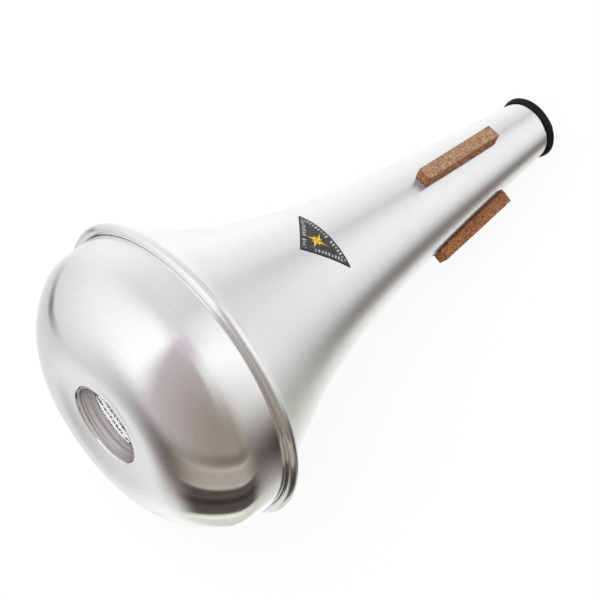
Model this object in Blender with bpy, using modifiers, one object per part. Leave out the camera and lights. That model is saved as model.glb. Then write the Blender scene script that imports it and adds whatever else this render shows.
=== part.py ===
# Straight mute for a bass trombone, spun from aluminium sheet.
#
# The mute is drawn about its own axis: local Z runs from the port in the bowl to the narrow nose,
# local X points to the first cork. It then lies down on the rolled bead and the nose trim, nose
# towards +X and first cork upwards, with the floor at z = 0 and the origin under the middle of its
# bounding box.

import math

import bmesh
import bpy
import numpy as np
from mathutils import Matrix

# Common to the spun pieces
SEGMENTS = 48
SHEET = 0.0008
CLEARANCE = 0.0003
FILLET_STEPS = 3

# Bowl that closes the wide end, measured from the plane of the port
BOWL_DEPTH = 0.0452
BOWL_TO_LIP_GAP = 0.0006
BOWL_SPREAD = 0.0022
BOWL_SPREAD_START = 0.0150
BOWL_SHOULDER_HEIGHT = 0.0264
BOWL_SIDE_ROWS = 4
BOWL_CROWN_DEPTH = 0.0022
BOWL_CROWN_RADIUS = 0.0380
BOWL_SIDE_POWER = 1.87
BOWL_CROWN_POWER = 1.376
BOWL_FACE_ROWS = 10
BOWL_DISH_ROWS = 4
FLANGE_FILLET = 0.0009

# Port collar in the middle of the bowl
PORT_RADIUS = 0.0220
PORT_FILLET = 0.0012
PORT_HEM = 0.0022
COLLAR_LENGTH = 0.0098
COLLAR_SETBACK = 0.0006

# Flared body, from the seam beside the bead to the narrow end
MOUTH_RADIUS = 0.0793
NOSE_RADIUS = 0.01705
BODY_LENGTH = 0.2678
BODY_TAPER = 0.0848
FLARE_REACH = 0.0642
FLARE_POWER = 1.166
BODY_STATIONS = 15
STATION_CROWDING = 1.35

# Rolled bead that grips the flange of the bowl
BEAD_SECTION = 0.0030
BEAD_STEP_OUT = 0.0007
BEAD_CREASE_ANGLE = math.radians(132.0)
BEAD_LIP_ANGLE = math.radians(-114.0)
BEAD_STEPS = 8

# Soft edging round the narrow end
TRIM_THICKNESS = 0.0016
TRIM_OUTER_LEG = 0.0043
TRIM_INNER_LEG = 0.0043
TRIM_CORNER_STEPS = 2

# Cork strips, glued lengthwise near the nose
CORK_TO_NOSE = 0.0420
CORK_LENGTH = 0.0596
CORK_WIDTH = 0.0086
CORK_HEIGHT_WIDE_END = 0.0066
CORK_HEIGHT_NOSE_END = 0.0076
CORK_EDGE = 0.0005
CORK_SOLE_ROWS = 7
CORK_TURNS = (0.0, math.radians(112.0), math.radians(236.0))

# Triangular badge on the flare, point towards the bowl
SEAM_TO_BADGE = 0.0703
BADGE_HEIGHT = 0.0219
BADGE_HALF_BASE = 0.0207
BADGE_THICKNESS = 0.0004
BADGE_TURN = 0.0
BADGE_ROWS = 4
BADGE_COLUMNS = 10

# Paper label inside the bowl's side, seen through the port
SHOULDER_TO_LABEL = 0.0008
LABEL_HEIGHT = 0.0160
LABEL_ARC = 0.0660
LABEL_THICKNESS = 0.0004
LABEL_ROWS = 4
LABEL_STEPS = 12
LABEL_TURN = math.radians(200.0)

# Colour, roughness and metallic value of each material
FINISHES = {
    "spun_aluminium": ((0.78, 0.78, 0.79), 0.30, 1.0),
    "turned_aluminium": ((0.62, 0.60, 0.60), 0.35, 1.0),
    "black_edging": ((0.025, 0.025, 0.027), 0.60, 0.0),
    "cork": ((0.44, 0.23, 0.11), 0.85, 0.0),
    "badge_print": ((0.07, 0.07, 0.08), 0.40, 0.0),
    "label_paper": ((0.86, 0.86, 0.84), 0.70, 0.0),
}

# Places and radii that several pieces share. The bead starts one small step outside the flare's
# end, which is the crease seen beside it, and its lip stands at the depth of the bowl.
BEAD_Z = BOWL_DEPTH + BEAD_SECTION
BEAD_RADIUS = MOUTH_RADIUS + BEAD_STEP_OUT - BEAD_SECTION * math.cos(BEAD_CREASE_ANGLE)
SEAM_Z = BEAD_Z + BEAD_SECTION * math.sin(BEAD_CREASE_ANGLE)
NOSE_Z = SEAM_Z + BODY_LENGTH
BEAD_LIP_RADIUS = BEAD_RADIUS + BEAD_SECTION * math.cos(BEAD_LIP_ANGLE)
BOWL_EDGE_RADIUS = BEAD_LIP_RADIUS - BOWL_TO_LIP_GAP
BOWL_RADIUS = BOWL_EDGE_RADIUS - BOWL_SPREAD
CORK_START = NOSE_Z - CORK_TO_NOSE - CORK_LENGTH
BADGE_START = SEAM_Z + SEAM_TO_BADGE


def flare_radius(z):
    """Outer radius of the body: a slow taper plus a flare that dies away from the mouth."""
    taper = BODY_TAPER * (NOSE_Z - z)
    flare = MOUTH_RADIUS - NOSE_RADIUS - BODY_TAPER * BODY_LENGTH
    fade = math.exp(-((max(z - SEAM_Z, 0.0) / FLARE_REACH) ** FLARE_POWER))
    return NOSE_RADIUS + taper + flare * fade


def flare_slope(z):
    """Angle between the body's outer line and the axis."""
    step = 0.001
    return math.atan((flare_radius(z) - flare_radius(z + step)) / step)


def bowl_height(radius):
    """Height over the plane of the port of the bowl's face, before its side is spread."""
    if radius <= BOWL_CROWN_RADIUS:
        run = BOWL_CROWN_RADIUS - PORT_RADIUS - PORT_FILLET
        share = max(1.0 - (BOWL_CROWN_RADIUS - radius) / run, 0.0)
        return -BOWL_CROWN_DEPTH * (1.0 - math.cos(math.pi * share)) / 2.0
    share = min((radius - BOWL_CROWN_RADIUS) / (BOWL_RADIUS - BOWL_CROWN_RADIUS), 1.0)
    drop = (1.0 - share**BOWL_SIDE_POWER) ** (1.0 / BOWL_CROWN_POWER)
    return BOWL_SHOULDER_HEIGHT - (BOWL_SHOULDER_HEIGHT + BOWL_CROWN_DEPTH) * drop


def bowl_spread(z):
    """How far the bowl's side is spread outwards at a height, easing in and out."""
    share = min(max((z - BOWL_SPREAD_START) / (BOWL_DEPTH - BOWL_SPREAD_START), 0.0), 1.0)
    return BOWL_SPREAD * (1.0 - math.cos(math.pi * share)) / 2.0


def bowl_side_radius(z):
    """Outer radius of the bowl's side, between its shoulder and its edge."""
    return BOWL_RADIUS + bowl_spread(z)


def arc(centre_radius, centre_z, radius, start, end, steps):
    """Points (radius, z) on an arc. Angle 0 points away from the axis, a quarter to the nose."""
    angles = np.linspace(start, end, steps + 1)
    return [
        (centre_radius + radius * math.cos(a), centre_z + radius * math.sin(a))
        for a in angles
    ]


def body_line():
    """Outer line of the body from the nose to the seam, and on round the bead to its lip."""
    spread = np.linspace(1.0, 0.0, BODY_STATIONS) ** STATION_CROWDING
    line = [(flare_radius(float(z)), float(z)) for z in SEAM_Z + BODY_LENGTH * spread]
    return line + arc(
        BEAD_RADIUS, BEAD_Z, BEAD_SECTION, BEAD_CREASE_ANGLE, BEAD_LIP_ANGLE, BEAD_STEPS
    )


def bowl_line():
    """Outer line of the bowl: flange in the bead, side, shoulder, dished crown and port hem."""
    flange_top = SEAM_Z - SHEET - CLEARANCE
    flange_z = flange_top - SHEET
    room = math.sqrt((BEAD_SECTION - SHEET) ** 2 - (flange_top - BEAD_Z) ** 2)
    line = [(BEAD_RADIUS + room - CLEARANCE, flange_z)]
    corner = (BOWL_EDGE_RADIUS + FLANGE_FILLET, flange_z - FLANGE_FILLET)
    line += arc(*corner, FLANGE_FILLET, math.pi / 2, math.pi, FILLET_STEPS)
    side = np.linspace(BOWL_DEPTH, BOWL_SHOULDER_HEIGHT, BOWL_SIDE_ROWS + 1)[:-1]
    line += [(bowl_side_radius(float(z)), float(z)) for z in side]
    angles = np.linspace(0.0, math.pi / 2, BOWL_FACE_ROWS + 1)
    face = BOWL_CROWN_RADIUS + (BOWL_RADIUS - BOWL_CROWN_RADIUS) * np.cos(angles)
    edge = PORT_RADIUS + PORT_FILLET
    dish = np.linspace(BOWL_CROWN_RADIUS, edge, BOWL_DISH_ROWS + 1)[1:]
    for radius in [float(r) for r in (*face, *dish)]:
        height = bowl_height(radius)
        line.append((radius + bowl_spread(height), height))
    line += arc(edge, PORT_FILLET, PORT_FILLET, 1.5 * math.pi, math.pi, FILLET_STEPS)[1:]
    line.append((PORT_RADIUS, PORT_FILLET + PORT_HEM))
    return line


def collar_loop():
    """Closed section of the collar: a thin sleeve with a rounded edge at each end."""
    outer = PORT_RADIUS - CLEARANCE
    middle = outer - SHEET / 2
    inner_end = COLLAR_SETBACK + COLLAR_LENGTH
    outer_end = COLLAR_SETBACK
    half = SHEET / 2
    loop = arc(middle, inner_end - half, half, math.pi, 0.0, FILLET_STEPS)
    return loop + arc(middle, outer_end + half, half, 0.0, -math.pi, FILLET_STEPS)


def trim_loop():
    """Closed U section of the edging, which hooks over the end of the sheet."""
    face = NOSE_Z + CLEARANCE + TRIM_THICKNESS
    outer = flare_radius(face - TRIM_OUTER_LEG) + CLEARANCE + TRIM_THICKNESS
    inner = NOSE_RADIUS - SHEET - CLEARANCE - TRIM_THICKNESS
    corner = TRIM_THICKNESS * 0.5
    steps = TRIM_CORNER_STEPS
    loop = arc(inner + corner, face - corner, corner, math.pi, math.pi / 2, steps)
    loop += arc(outer - corner, face - corner, corner, math.pi / 2, 0.0, steps)
    loop += [(outer, face - TRIM_OUTER_LEG), (outer - TRIM_THICKNESS, face - TRIM_OUTER_LEG)]
    loop += [(outer - TRIM_THICKNESS, face - TRIM_THICKNESS)]
    loop += [(inner + TRIM_THICKNESS, face - TRIM_THICKNESS)]
    return loop + [(inner + TRIM_THICKNESS, face - TRIM_INNER_LEG), (inner, face - TRIM_INNER_LEG)]


def rest_tilt():
    """Nose-down angle at which the bead and the trim both touch the floor."""
    bead = [p for p in body_line() if p[1] < BODY_LENGTH / 2]
    trim = trim_loop()

    def reach(line, tilt):
        return max(r * math.cos(tilt) * facet_share() + z * math.sin(tilt) for r, z in line)

    low, high = 0.0, math.radians(60.0)
    for _ in range(60):
        tilt = (low + high) / 2
        if reach(bead, tilt) > reach(trim, tilt):
            low = tilt
        else:
            high = tilt
    return low, reach(bead, low)


def facet_share():
    """How far the middle of a facet lies from the axis, as a share of its corner's distance."""
    return math.cos(math.pi / SEGMENTS)


def clear_scene():
    for obj in list(bpy.data.objects):
        bpy.data.objects.remove(obj, do_unlink=True)


def add_collection(name):
    collection = bpy.data.collections.new(name)
    bpy.context.scene.collection.children.link(collection)
    return collection


def make_material(name):
    colour, roughness, metallic = FINISHES[name]
    material = bpy.data.materials.new(name)
    material.use_nodes = True
    shader = material.node_tree.nodes["Principled BSDF"]
    shader.inputs["Base Color"].default_value = (*colour, 1.0)
    shader.inputs["Roughness"].default_value = roughness
    shader.inputs["Metallic"].default_value = metallic
    material.diffuse_color = (*colour, 1.0)
    return material


def add_object(name, mesh, collection, axis, material=None):
    obj = bpy.data.objects.new(name, mesh)
    collection.objects.link(obj)
    obj.parent = axis
    if material:
        mesh.materials.append(material)
    return obj


def line_mesh(name, points, closed):
    """A mesh of edges through (radius, z) points, in the XZ plane."""
    mesh = bpy.data.meshes.new(name)
    bm = bmesh.new()
    verts = [bm.verts.new((r, 0.0, z)) for r, z in points]
    for first, second in zip(verts, verts[1:]):
        bm.edges.new((first, second))
    if closed:
        bm.edges.new((verts[-1], verts[0]))
    bm.to_mesh(mesh)
    bm.free()
    return mesh


def turn(obj, angle=2 * math.pi, steps=SEGMENTS):
    """Turn the object's profile about the mute's axis."""
    screw = obj.modifiers.new("turn", "SCREW")
    screw.axis = "Z"
    screw.angle = angle
    screw.steps = steps
    screw.render_steps = steps
    screw.use_merge_vertices = True
    screw.merge_threshold = 0.00001
    screw.use_smooth_shade = True


def thicken(obj, thickness, offset):
    """Give an open surface the thickness of its sheet. Offset -1 is inwards and 1 outwards."""
    solidify = obj.modifiers.new("sheet", "SOLIDIFY")
    solidify.thickness = thickness
    solidify.offset = offset
    solidify.use_even_offset = True


def add_turned(name, points, closed, collection, axis, material):
    """A turned piece, with a flat of its facets downwards when the mute lies on its side."""
    obj = add_object(name, line_mesh(name, points, closed), collection, axis, material)
    obj.rotation_euler = (0.0, 0.0, math.pi / SEGMENTS)
    turn(obj)
    if not closed:
        thicken(obj, SHEET, -1.0)
    return obj


def flare_patch(start, height, half_widths, lift, rows_along, side_steps):
    """A sheet laid on the flare. Its half width changes evenly along it between two values.

    The sheet is flat when unrolled: a point of it is found from its distance to the tip of the
    cone that touches the flare at the sheet's start.
    """
    slope = flare_slope(start + height * math.cos(flare_slope(start)) / 2)
    tip = (flare_radius(start) + lift) / math.sin(slope)
    bm = bmesh.new()
    rows = []
    for along in np.linspace(0.0, height, rows_along + 1):
        half = half_widths[0] + (half_widths[1] - half_widths[0]) * along / height
        row = []
        for across in np.linspace(-half, half, side_steps + 1):
            reach = math.hypot(tip - along, across)
            turned = math.atan2(across, tip - along) / math.sin(slope)
            z = start + (tip - reach) * math.cos(slope)
            radius = flare_radius(z) + lift
            row.append(bm.verts.new((radius * math.cos(turned), radius * math.sin(turned), z)))
        rows.append(row)
    for near, far in zip(rows, rows[1:]):
        for k in range(side_steps):
            bm.faces.new((near[k], near[k + 1], far[k + 1], far[k]))
    bmesh.ops.remove_doubles(bm, verts=bm.verts, dist=0.00001)
    bmesh.ops.dissolve_degenerate(bm, edges=bm.edges, dist=0.00001)
    return bm


def add_patch(name, bm, thickness, offset, turned, collection, axis, material):
    mesh = bpy.data.meshes.new(name)
    bm.to_mesh(mesh)
    bm.free()
    obj = add_object(name, mesh, collection, axis, material)
    obj.rotation_euler = (0.0, 0.0, turned)
    thicken(obj, thickness, offset)
    return obj


def add_badge(collection, axis, material):
    half_widths = (0.0, BADGE_HALF_BASE)
    bm = flare_patch(
        BADGE_START, BADGE_HEIGHT, half_widths, CLEARANCE, BADGE_ROWS, BADGE_COLUMNS
    )
    return add_patch(
        "badge", bm, BADGE_THICKNESS, 1.0, BADGE_TURN, collection, axis, material
    )


def add_label(collection, axis, material):
    """A strip of paper that lies against the flats inside the bowl's side."""
    start = BOWL_SHOULDER_HEIGHT + SHOULDER_TO_LABEL
    line = []
    for z in np.linspace(start + LABEL_HEIGHT, start, LABEL_ROWS + 1).tolist():
        line.append(((bowl_side_radius(z) - SHEET) * facet_share() - CLEARANCE, z))
    mesh = line_mesh("inner_label", line, False)
    obj = add_object("inner_label", mesh, collection, axis, material)
    spread = LABEL_ARC / line[-1][0]
    obj.rotation_euler = (0.0, 0.0, LABEL_TURN - spread / 2)
    turn(obj, spread, LABEL_STEPS)
    thicken(obj, LABEL_THICKNESS, -1.0)
    return obj


def add_flare_cutter(collection, axis):
    """A solid copy of the body where the corks sit, one clearance larger, to shape their soles."""
    margin = CORK_LENGTH * 0.1
    cork_end = CORK_START + CORK_LENGTH
    stations = np.linspace(cork_end + margin, CORK_START - margin, CORK_SOLE_ROWS + 1)
    points = [(0.0, float(stations[0]))]
    points += [(flare_radius(z) + CLEARANCE, float(z)) for z in stations]
    points.append((0.0, float(stations[-1])))
    obj = add_object("flare_cutter", line_mesh("flare_cutter", points, False), collection, axis)
    obj.rotation_euler = (0.0, 0.0, math.pi / SEGMENTS)
    turn(obj)
    obj.hide_render = True
    obj.display_type = "WIRE"
    return obj


def add_cork(name, turned, cutter, collection, axis, material):
    """A straight strip whose top runs between two heights over the body, cut to sit on it."""
    wide_top = flare_radius(CORK_START) + CORK_HEIGHT_WIDE_END
    nose_top = flare_radius(CORK_START + CORK_LENGTH) + CORK_HEIGHT_NOSE_END
    dip = math.atan2(wide_top - nose_top, CORK_LENGTH)
    length = CORK_LENGTH / math.cos(dip)
    depth = max(CORK_HEIGHT_WIDE_END, CORK_HEIGHT_NOSE_END) * 1.6
    mesh = bpy.data.meshes.new(name)
    bm = bmesh.new()
    bmesh.ops.create_cube(bm, size=1.0)
    bmesh.ops.scale(bm, vec=(depth, CORK_WIDTH, length), verts=bm.verts)
    bmesh.ops.translate(bm, vec=(-depth / 2, 0.0, 0.0), verts=bm.verts)
    top_edges = [e for e in bm.edges if all(v.co.x > -depth / 2 for v in e.verts)]
    bmesh.ops.bevel(bm, geom=top_edges, offset=CORK_EDGE, segments=1, affect="EDGES")
    bm.to_mesh(mesh)
    bm.free()
    obj = add_object(name, mesh, collection, axis, material)
    middle = Matrix.Translation(((wide_top + nose_top) / 2, 0.0, CORK_START + CORK_LENGTH / 2))
    obj.matrix_basis = Matrix.Rotation(turned, 4, "Z") @ middle @ Matrix.Rotation(-dip, 4, "Y")
    cut = obj.modifiers.new("sole", "BOOLEAN")
    cut.operation = "DIFFERENCE"
    cut.object = cutter
    return obj


def lay_down(axis):
    """Turn the mute on its side on the floor, and centre its bounding box over the origin."""
    tilt, reach = rest_tilt()
    nose = (math.cos(tilt), 0.0, -math.sin(tilt))
    up = (math.sin(tilt), 0.0, math.cos(tilt))
    turned = Matrix((up, (0.0, -1.0, 0.0), nose)).transposed().to_4x4()
    axis.matrix_world = Matrix.Translation((0.0, 0.0, reach)) @ turned
    bpy.context.view_layer.update()
    graph = bpy.context.evaluated_depsgraph_get()
    corners = []
    for obj in axis.children:
        if obj.hide_render:
            continue
        evaluated = obj.evaluated_get(graph)
        mesh = evaluated.to_mesh()
        corners += [evaluated.matrix_world @ v.co for v in mesh.vertices]
        evaluated.to_mesh_clear()
    low = np.min(corners, axis=0)
    high = np.max(corners, axis=0)
    shift = Matrix.Translation((-(low[0] + high[0]) / 2, -(low[1] + high[1]) / 2, -low[2]))
    axis.matrix_world = shift @ axis.matrix_world


def main():
    clear_scene()
    mute = add_collection("bass_trombone_straight_mute")
    cutters = add_collection("cutters")
    axis = bpy.data.objects.new("mute_axis", None)
    mute.objects.link(axis)
    looks = {name: make_material(name) for name in FINISHES}
    metal = looks["spun_aluminium"]
    add_turned("body_shell", body_line(), False, mute, axis, metal)
    add_turned("end_cap", bowl_line(), False, mute, axis, metal)
    add_turned("port_collar", collar_loop(), True, mute, axis, looks["turned_aluminium"])
    add_turned("nose_trim", trim_loop(), True, mute, axis, looks["black_edging"])
    cutter = add_flare_cutter(cutters, axis)
    for number, turned in enumerate(CORK_TURNS, 1):
        add_cork(f"cork_strip_{number}", turned, cutter, mute, axis, looks["cork"])
    add_badge(mute, axis, looks["badge_print"])
    add_label(mute, axis, looks["label_paper"])
    lay_down(axis)


main()
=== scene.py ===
import math

import bmesh
import bpy
import numpy as np
from mathutils import Euler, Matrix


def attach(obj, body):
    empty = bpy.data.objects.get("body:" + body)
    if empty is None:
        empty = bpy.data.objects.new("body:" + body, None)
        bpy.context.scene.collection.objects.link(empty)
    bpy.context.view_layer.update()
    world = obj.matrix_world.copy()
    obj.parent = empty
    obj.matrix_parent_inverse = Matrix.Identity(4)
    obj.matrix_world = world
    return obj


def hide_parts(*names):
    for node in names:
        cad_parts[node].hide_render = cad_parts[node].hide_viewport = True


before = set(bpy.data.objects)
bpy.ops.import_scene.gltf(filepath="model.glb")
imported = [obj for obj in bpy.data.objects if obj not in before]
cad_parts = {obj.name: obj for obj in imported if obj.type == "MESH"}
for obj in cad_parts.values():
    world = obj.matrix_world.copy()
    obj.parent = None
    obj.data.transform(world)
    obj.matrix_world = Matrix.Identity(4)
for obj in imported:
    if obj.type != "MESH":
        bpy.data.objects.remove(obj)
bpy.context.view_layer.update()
print("frame loaded:", len(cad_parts), "nodes")

# How the mute lies. It is drawn about its own axis (x up, y across, z from port to nose) and laid
# on its bead and nose edging. The frame's turned pieces have 48 flats, so the smooth ones here
# take the distance to the middle of a flat, which puts them on the same floor.
lie = {
    "tilt": math.radians(13.597135),
    "portX": -0.1518119,
    "portZ": 0.0938540,
    "roundShare": math.cos(math.pi / 48),
}

spin = {"steps": 256, "sheet": 0.0008}

body = {
    "mouthRadius": 0.0793,
    "noseRadius": 0.01705,
    "seamZ": 0.050429,
    "noseZ": 0.318229,
    "taper": 0.0848,
    "flareReach": 0.0642,
    "flarePower": 1.166,
    "beadRadius": 0.0820074,
    "beadZ": 0.0482,
    "beadSection": 0.00296,
    "beadFrom": math.radians(124.0),
    "beadTo": math.radians(-118.5),
    "curlRise": 0.0009,
    "curlReach": 0.0100,
    "coveOnFlare": 0.0012,
    "coveOnBead": 0.0004,
    "stations": 170,
    "crowding": 1.5,
    "coveSteps": 13,
    "beadSteps": 64,
}


# World points = port centre + x * up + y * across + z * towards the nose.
def laid(local):
    sine, cosine = math.sin(lie["tilt"]), math.cos(lie["tilt"])
    up, across, nose = np.array([[sine, 0.0, cosine], [0.0, -1.0, 0.0], [cosine, 0.0, -sine]])
    port = np.array([lie["portX"], 0.0, lie["portZ"]])
    return port + local[..., :1] * up + local[..., 1:2] * across + local[..., 2:] * nose


# Local points at a radius and a turn about the axis.
def polar(radius, turn, z):
    return np.stack([radius * np.cos(turn), radius * np.sin(turn), z], -1)


def addObject(name, data):
    obj = bpy.data.objects.new(name, data)
    bpy.context.scene.collection.objects.link(obj)
    return obj


# Quads over a grid of local points, wrapped where it is round, and turned to face outwards. uv has
# one more row or column than the grid where the grid is round, so that it ends at 1.
def gridMesh(name, grid, roundA, roundB, uv, attributes=None):
    countA, countB = grid.shape[:2]
    a, b = np.meshgrid(
        np.arange(countA - (not roundA)), np.arange(countB - (not roundB)), indexing="ij"
    )
    steps = [(0, 0), (1, 0), (1, 1), (0, 1)]
    points = laid(grid).reshape(-1, 3)
    corners = [((a + i) % countA * countB + (b + j) % countB).reshape(-1) for i, j in steps]
    faceUv = [uv[a + i, b + j].reshape(-1, 2) for i, j in steps]
    corners = np.stack(corners, 1)
    faceUv = np.stack(faceUv, 1)
    # Volume = sum of p0 . (p1 x p2) over both triangles of each quad
    p = points[corners] - points.mean(0)
    volume = (p[:, 0] * (np.cross(p[:, 1], p[:, 2]) + np.cross(p[:, 2], p[:, 3]))).sum()
    if volume < 0:
        corners = corners[:, ::-1]
        faceUv = faceUv[:, ::-1]
    mesh = bpy.data.meshes.new(name)
    mesh.from_pydata(points, [], corners)
    layer = mesh.uv_layers.new(name="surface")
    layer.data.foreach_set("uv", np.ascontiguousarray(faceUv).reshape(-1))
    for key, values in (attributes or {}).items():
        field = mesh.attributes.new(key, "FLOAT", "POINT")
        field.data.foreach_set("value", values.astype(np.float32).reshape(-1))
    mesh.polygons.foreach_set("use_smooth", np.ones(len(mesh.polygons), bool))
    mesh.update()
    return addObject(name, mesh)


# Running length along a line of (radius, z) points.
def lineLength(line):
    return np.concatenate([[0.0], np.cumsum(np.hypot(*np.diff(line, axis=0).T))])


def closed(line):
    return np.concatenate([line, line[:1]])


# The same line at an even pitch: count steps of the same length.
def evenLine(line, count):
    length = lineLength(line)
    even = np.linspace(0.0, length[-1], count + 1)
    return np.stack([np.interp(even, length, line[:, i]) for i in (0, 1)], 1)


# Points (centre + radius * cos a, centre + radius * sin a) for a from start to end.
def arc(centreRadius, centreZ, radius, start, end, steps):
    a = np.linspace(start, end, steps + 1)
    return np.stack([centreRadius + radius * np.cos(a), centreZ + radius * np.sin(a)], 1)


# Quadratic curve (1-t)^2 A + 2t(1-t) C + t^2 B.
def bentLine(a, corner, b, steps):
    t = np.linspace(0.0, 1.0, steps + 1)[:, None]
    return (1 - t) ** 2 * a + 2 * t * (1 - t) * corner + t**2 * b


# The same curve round a corner, over a short reach to each side.
def easedCorner(before, corner, after, reach, steps=6):
    before, corner, after = (np.asarray(p, float) for p in (before, corner, after))
    a = corner + (before - corner) / np.linalg.norm(before - corner) * reach
    b = corner + (after - corner) / np.linalg.norm(after - corner) * reach
    return bentLine(a, corner, b, steps)


# Points at an even pitch, each moved to the mean of its neighbours under a cos^2 window. The line
# is extended by its own mirror image beyond each end, so that its ends stay where they are.
def easedLine(line, pitch, reach):
    points = evenLine(line, int(lineLength(line)[-1] / pitch))
    count = int(reach / pitch)
    window = np.cos(np.linspace(-math.pi / 2, math.pi / 2, 2 * count + 1)) ** 2
    window /= window.sum()
    before = 2 * points[0] - points[count:0:-1]
    after = 2 * points[-1] - points[-2:-count - 2:-1]
    longer = np.concatenate([before, points, after])
    return np.stack([np.convolve(longer[:, i], window, "valid") for i in (0, 1)], 1)


# Closed section: the outer line, the same line moved inwards by the sheet, round ends.
def sheetLoop(outer, thickness, endSteps=5):
    along = np.gradient(outer, axis=0)
    along /= np.linalg.norm(along, axis=1, keepdims=True)
    inward = np.stack([along[:, 1], -along[:, 0]], 1)
    inner = outer + inward * thickness
    a = np.linspace(0.0, math.pi, endSteps + 2)[1:-1, None]
    tail = (outer[-1] + inner[-1]) / 2
    tail = tail - inward[-1] * np.cos(a) * thickness / 2 + along[-1] * np.sin(a) * thickness / 2
    head = (outer[0] + inner[0]) / 2
    head = head + inward[0] * np.cos(a) * thickness / 2 - along[0] * np.sin(a) * thickness / 2
    return np.concatenate([outer, tail, inner[::-1], head])


# Closed section turned about the axis: x = r cos t, y = r sin t. swell(t) moves it outwards.
def turnedMesh(name, loop, steps, swell=None):
    t = np.arange(steps) / steps * 2 * math.pi
    radius = loop[None, :, 0] * lie["roundShare"] + np.zeros((steps, 1))
    z = loop[None, :, 1] + np.zeros((steps, 1))
    if swell:
        radius, z = swell(t[:, None], radius, z)
    length = lineLength(closed(loop))
    u, v = np.meshgrid(length / length[-1], np.arange(steps + 1) / steps)
    return gridMesh(name, polar(radius, t[:, None], z), True, True, np.stack([u, v], -1))


# Body: a flare r(z) = nose + taper * (noseZ - z) + rest * exp(-(distance from seam / reach)^power).
# It curls up towards the seam by rise * (1 - distance / reach)^2, and a cove leads to a rolled bead.
def flareRadius(z):
    seam, taper = body["seamZ"], body["taper"]
    rest = body["mouthRadius"] - body["noseRadius"] - taper * (body["noseZ"] - seam)
    fade = np.exp(-((np.maximum(z - seam, 0.0) / body["flareReach"]) ** body["flarePower"]))
    return body["noseRadius"] + taper * (body["noseZ"] - z) + rest * fade


def bodyLine():
    seam = body["seamZ"]
    share = np.linspace(1.0, 0.0, body["stations"]) ** body["crowding"]
    z = seam + (body["noseZ"] - seam) * share
    curl = body["curlRise"] * np.maximum(1.0 - (z - seam) / body["curlReach"], 0.0) ** 2
    flare = np.stack([flareRadius(z) + curl, z], 1)
    keep = z > seam + body["coveOnFlare"]
    bead = arc(
        body["beadRadius"], body["beadZ"], body["beadSection"],
        body["beadFrom"], body["beadTo"], body["beadSteps"],
    )
    # The cove runs from the flare to the bead, with the seam's corner between
    cove = bentLine(flare[keep][-1], flare[-1], bead[0], body["coveSteps"])
    crease = easedCorner(cove[-4], bead[0], bead[3], body["coveOnBead"])
    reach = np.linalg.norm(cove - bead[0], axis=1) > 1.2 * body["coveOnBead"]
    return np.concatenate([flare[keep], cove[1:][reach[1:]], crease, bead[4:]])


bodyLoop = sheetLoop(bodyLine(), spin["sheet"])
bodyPiece = turnedMesh("bodyShell", bodyLoop, spin["steps"])
print("body turned:", len(bodyPiece.data.polygons), "faces")

# Bowl that closes the wide end. Height over the plane of the port:
# shoulder - (shoulder + crown) * (1 - share^side)^(1/crownPower), with share from crown to side
bowl = {
    "depth": 0.0452,
    "edgeRadius": 0.080187,
    "spread": 0.0022,
    "spreadStart": 0.0150,
    "shoulder": 0.0264,
    "crownRadius": 0.0380,
    "crownDepth": 0.0022,
    "sidePower": 1.87,
    "crownPower": 1.376,
    "sideRows": 60,
    "faceRows": 400,
    "dishRows": 41,
    "easing": 0.009,
    "pitch": 0.0005,
    "flangeZ": 0.048529,
    "flangeRadius": 0.083600,
    "flangeFoot": 0.0823,
    "flangeFillet": 0.0009,
    "portRadius": 0.0220,
    "portFillet": 0.0012,
    "hem": 0.0022,
}


# Spread of the side: spread * (1 - cos(pi * share)) / 2, with share from its start to the edge
def bowlSpread(z):
    share = np.clip((z - bowl["spreadStart"]) / (bowl["depth"] - bowl["spreadStart"]), 0.0, 1.0)
    return bowl["spread"] * (1.0 - np.cos(math.pi * share)) / 2.0


# Side, face and dish in one line, eased so that they flow into each other without an edge
def bowlFace():
    shoulder, crown, dip = bowl["shoulder"], bowl["crownRadius"], bowl["crownDepth"]
    sideRadius = bowl["edgeRadius"] - bowl["spread"]
    sideZ = np.linspace(bowl["flangeZ"] - bowl["flangeFillet"], shoulder, bowl["sideRows"])[:-1]
    angle = np.linspace(0.0, math.pi / 2, bowl["faceRows"])
    base = crown + (sideRadius - crown) * np.cos(angle)
    drop = (1.0 - np.cos(angle) ** bowl["sidePower"]) ** (1.0 / bowl["crownPower"])
    height = shoulder - (shoulder + dip) * drop
    edge = bowl["portRadius"] + bowl["portFillet"]
    share = np.linspace(0.0, 1.0, bowl["dishRows"])[1:]
    dish = -dip * (1.0 - np.cos(math.pi * (1.0 - share))) / 2
    line = np.concatenate([
        np.stack([sideRadius + bowlSpread(sideZ), sideZ], 1),
        np.stack([base + bowlSpread(height), height], 1),
        np.stack([crown + (edge - crown) * share, dish], 1),
    ])
    return easedLine(line, bowl["pitch"], bowl["easing"])


def bowlLine():
    fillet = bowl["flangeFillet"]
    corner = (bowl["edgeRadius"] + fillet, bowl["flangeZ"] - fillet)
    flange = np.array([[bowl[name], bowl["flangeZ"]] for name in ("flangeRadius", "flangeFoot")])
    turnIn = arc(*corner, fillet, math.pi / 2, math.pi, 8)
    edge = bowl["portRadius"] + bowl["portFillet"]
    lip = arc(edge, bowl["portFillet"], bowl["portFillet"], 1.5 * math.pi, math.pi, 10)[1:]
    hem = np.array([[bowl["portRadius"], bowl["portFillet"] + bowl["hem"]]])
    return np.concatenate([flange, turnIn, bowlFace()[1:], lip, hem])


bowlLoop = sheetLoop(bowlLine(), spin["sheet"])
bowlPiece = turnedMesh("bowl", bowlLoop, spin["steps"])
print("bowl turned:", len(bowlPiece.data.polygons), "faces")

# Port collar: a thin sleeve behind the hem of the port
collar = {
    "outer": 0.0217, "start": 0.0006, "length": 0.0098, "steps": 160, "rows": 40, "endSteps": 7,
}


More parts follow.
